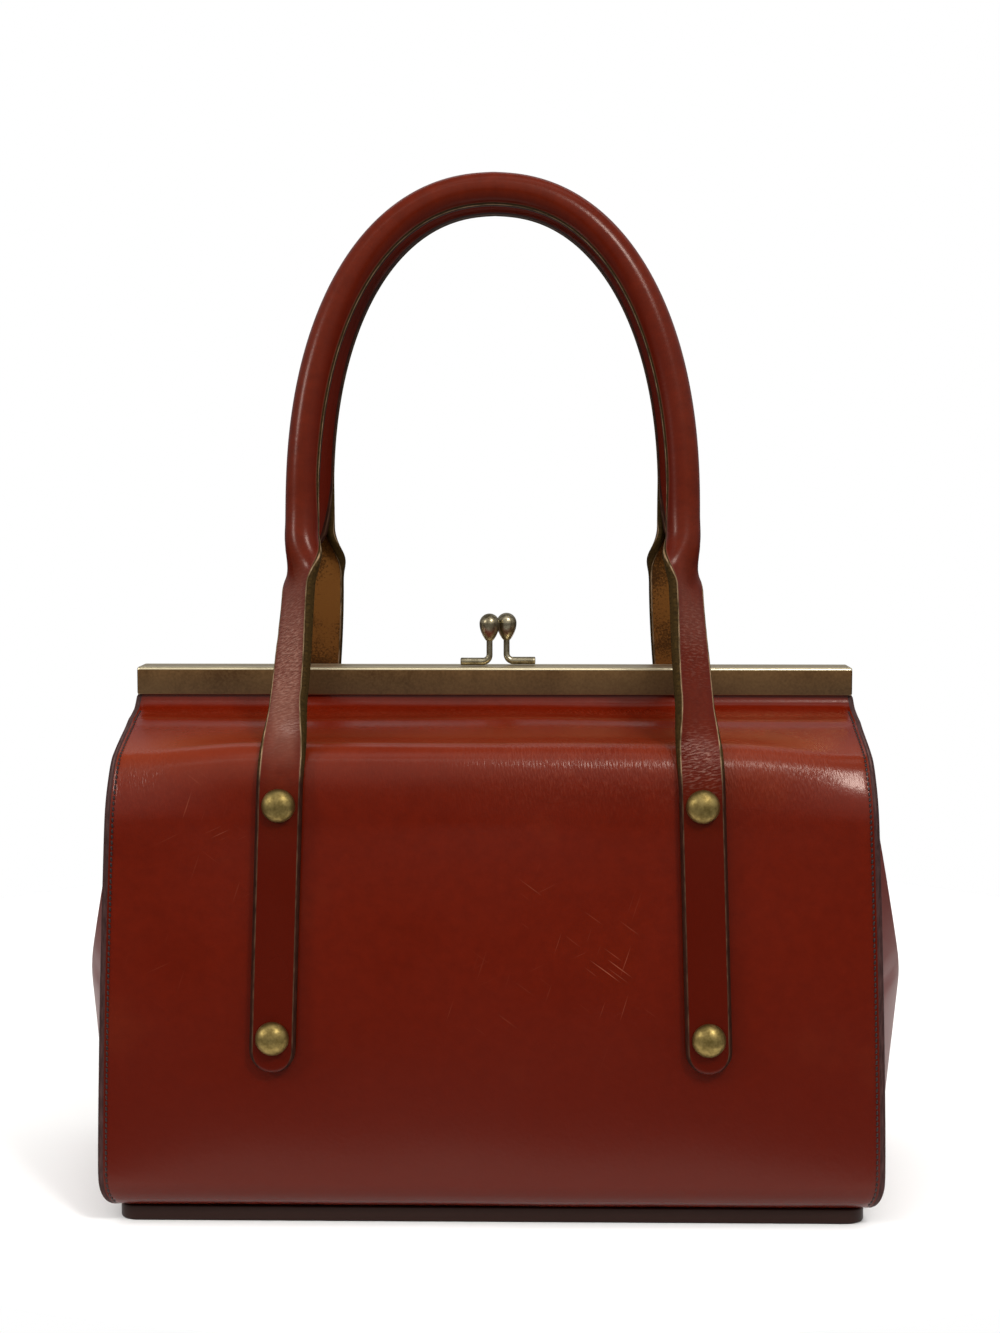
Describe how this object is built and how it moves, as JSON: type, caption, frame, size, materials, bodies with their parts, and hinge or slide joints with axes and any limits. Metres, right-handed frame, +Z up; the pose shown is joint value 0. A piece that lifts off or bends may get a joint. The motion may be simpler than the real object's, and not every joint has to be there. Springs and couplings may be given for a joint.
{
  "type": "leather frame handbag",
  "caption": "Structured leather handbag that opens at a hinged brass frame with a kiss-lock clasp, carried by rolled leather handles riveted to its front and back.",
  "frame": {"origin": "on the floor under the middle of the base", "axes": "+Z up towards the handles, +X to the viewer's right along the frame, -Y to the front of the bag"},
  "size_m": [0.311, 0.1446, 0.381],
  "materials": {
    "red_leather": "polished smooth grain",
    "gusset_leather": "creased smooth grain",
    "strap_leather": "burnished, handled",
    "base_leather": "matt",
    "aged_brass": "antique",
    "clasp_nickel": "worn nickel plate",
    "lining_cloth": "brushed",
    "board": "plain",
    "cotton_cord": "twisted"
  },
  "bodies": {
    "bag_body": {"front_panel": "red_leather", "rear_panel": "red_leather", "front_panel_neck": "red_leather", "rear_panel_neck": "red_leather", "left_gusset": "gusset_leather", "right_gusset": "gusset_leather", "left_gusset_top": "gusset_leather", "right_gusset_top": "gusset_leather", "base_panel": "base_leather", "base_board": "board", "front_stiffener": "board", "rear_stiffener": "board", "lining": "lining_cloth", "front_neck_lining": "lining_cloth", "rear_neck_lining": "lining_cloth", "front_strap_end_left": "strap_leather", "front_strap_end_right": "strap_leather", "rear_strap_end_left": "strap_leather", "rear_strap_end_right": "strap_leather", "stud_front_left_lower": "aged_brass", "stud_front_left_upper": "aged_brass", "stud_front_right_lower": "aged_brass", "stud_front_right_upper": "aged_brass", "stud_rear_left_lower": "aged_brass", "stud_rear_left_upper": "aged_brass", "stud_rear_right_lower": "aged_brass", "stud_rear_right_upper": "aged_brass", "stud_back_front_left_lower": "aged_brass", "stud_back_front_left_upper": "aged_brass", "stud_back_front_right_lower": "aged_brass", "stud_back_front_right_upper": "aged_brass", "stud_back_rear_left_lower": "aged_brass", "stud_back_rear_left_upper": "aged_brass", "stud_back_rear_right_lower": "aged_brass", "stud_back_rear_right_upper": "aged_brass"},
    "front_frame_half": {"front_frame": "aged_brass", "front_frame_packing": "cotton_cord", "front_clasp_knob": "clasp_nickel", "hinge_rivet_left": "aged_brass", "hinge_rivet_right": "aged_brass"},
    "rear_frame_half": {"rear_frame": "aged_brass", "rear_frame_packing": "cotton_cord", "rear_clasp_knob": "clasp_nickel"},
    "front_carry_handle": {"front_handle": "strap_leather", "front_handle_core": "cotton_cord"},
    "rear_carry_handle": {"rear_handle": "strap_leather", "rear_handle_core": "cotton_cord"}
  },
  "joints": [
    {"name": "front_frame_open", "type": "hinge", "parent": "bag_body", "child": "front_frame_half", "pos_m": [0, 0, 0.13879], "axis": [1, 0, 0], "range_deg": [0, 45], "deforming": ["front_panel_neck", "front_neck_lining", "left_gusset_top", "right_gusset_top"]},
    {"name": "rear_frame_open", "type": "hinge", "parent": "bag_body", "child": "rear_frame_half", "pos_m": [0, 0, 0.13879], "axis": [-1, 0, 0], "range_deg": [0, 45], "deforming": ["rear_panel_neck", "rear_neck_lining", "left_gusset_top", "right_gusset_top"]},
    {"name": "front_handle_swing", "type": "hinge", "parent": "bag_body", "child": "front_carry_handle", "pos_m": [0, -0.06189, 0.16356], "axis": [1, 0, 0], "range_deg": [0, 95]},
    {"name": "rear_handle_swing", "type": "hinge", "parent": "bag_body", "child": "rear_carry_handle", "pos_m": [0, 0.06189, 0.16356], "axis": [-1, 0, 0], "range_deg": [0, 95]}
  ]
}
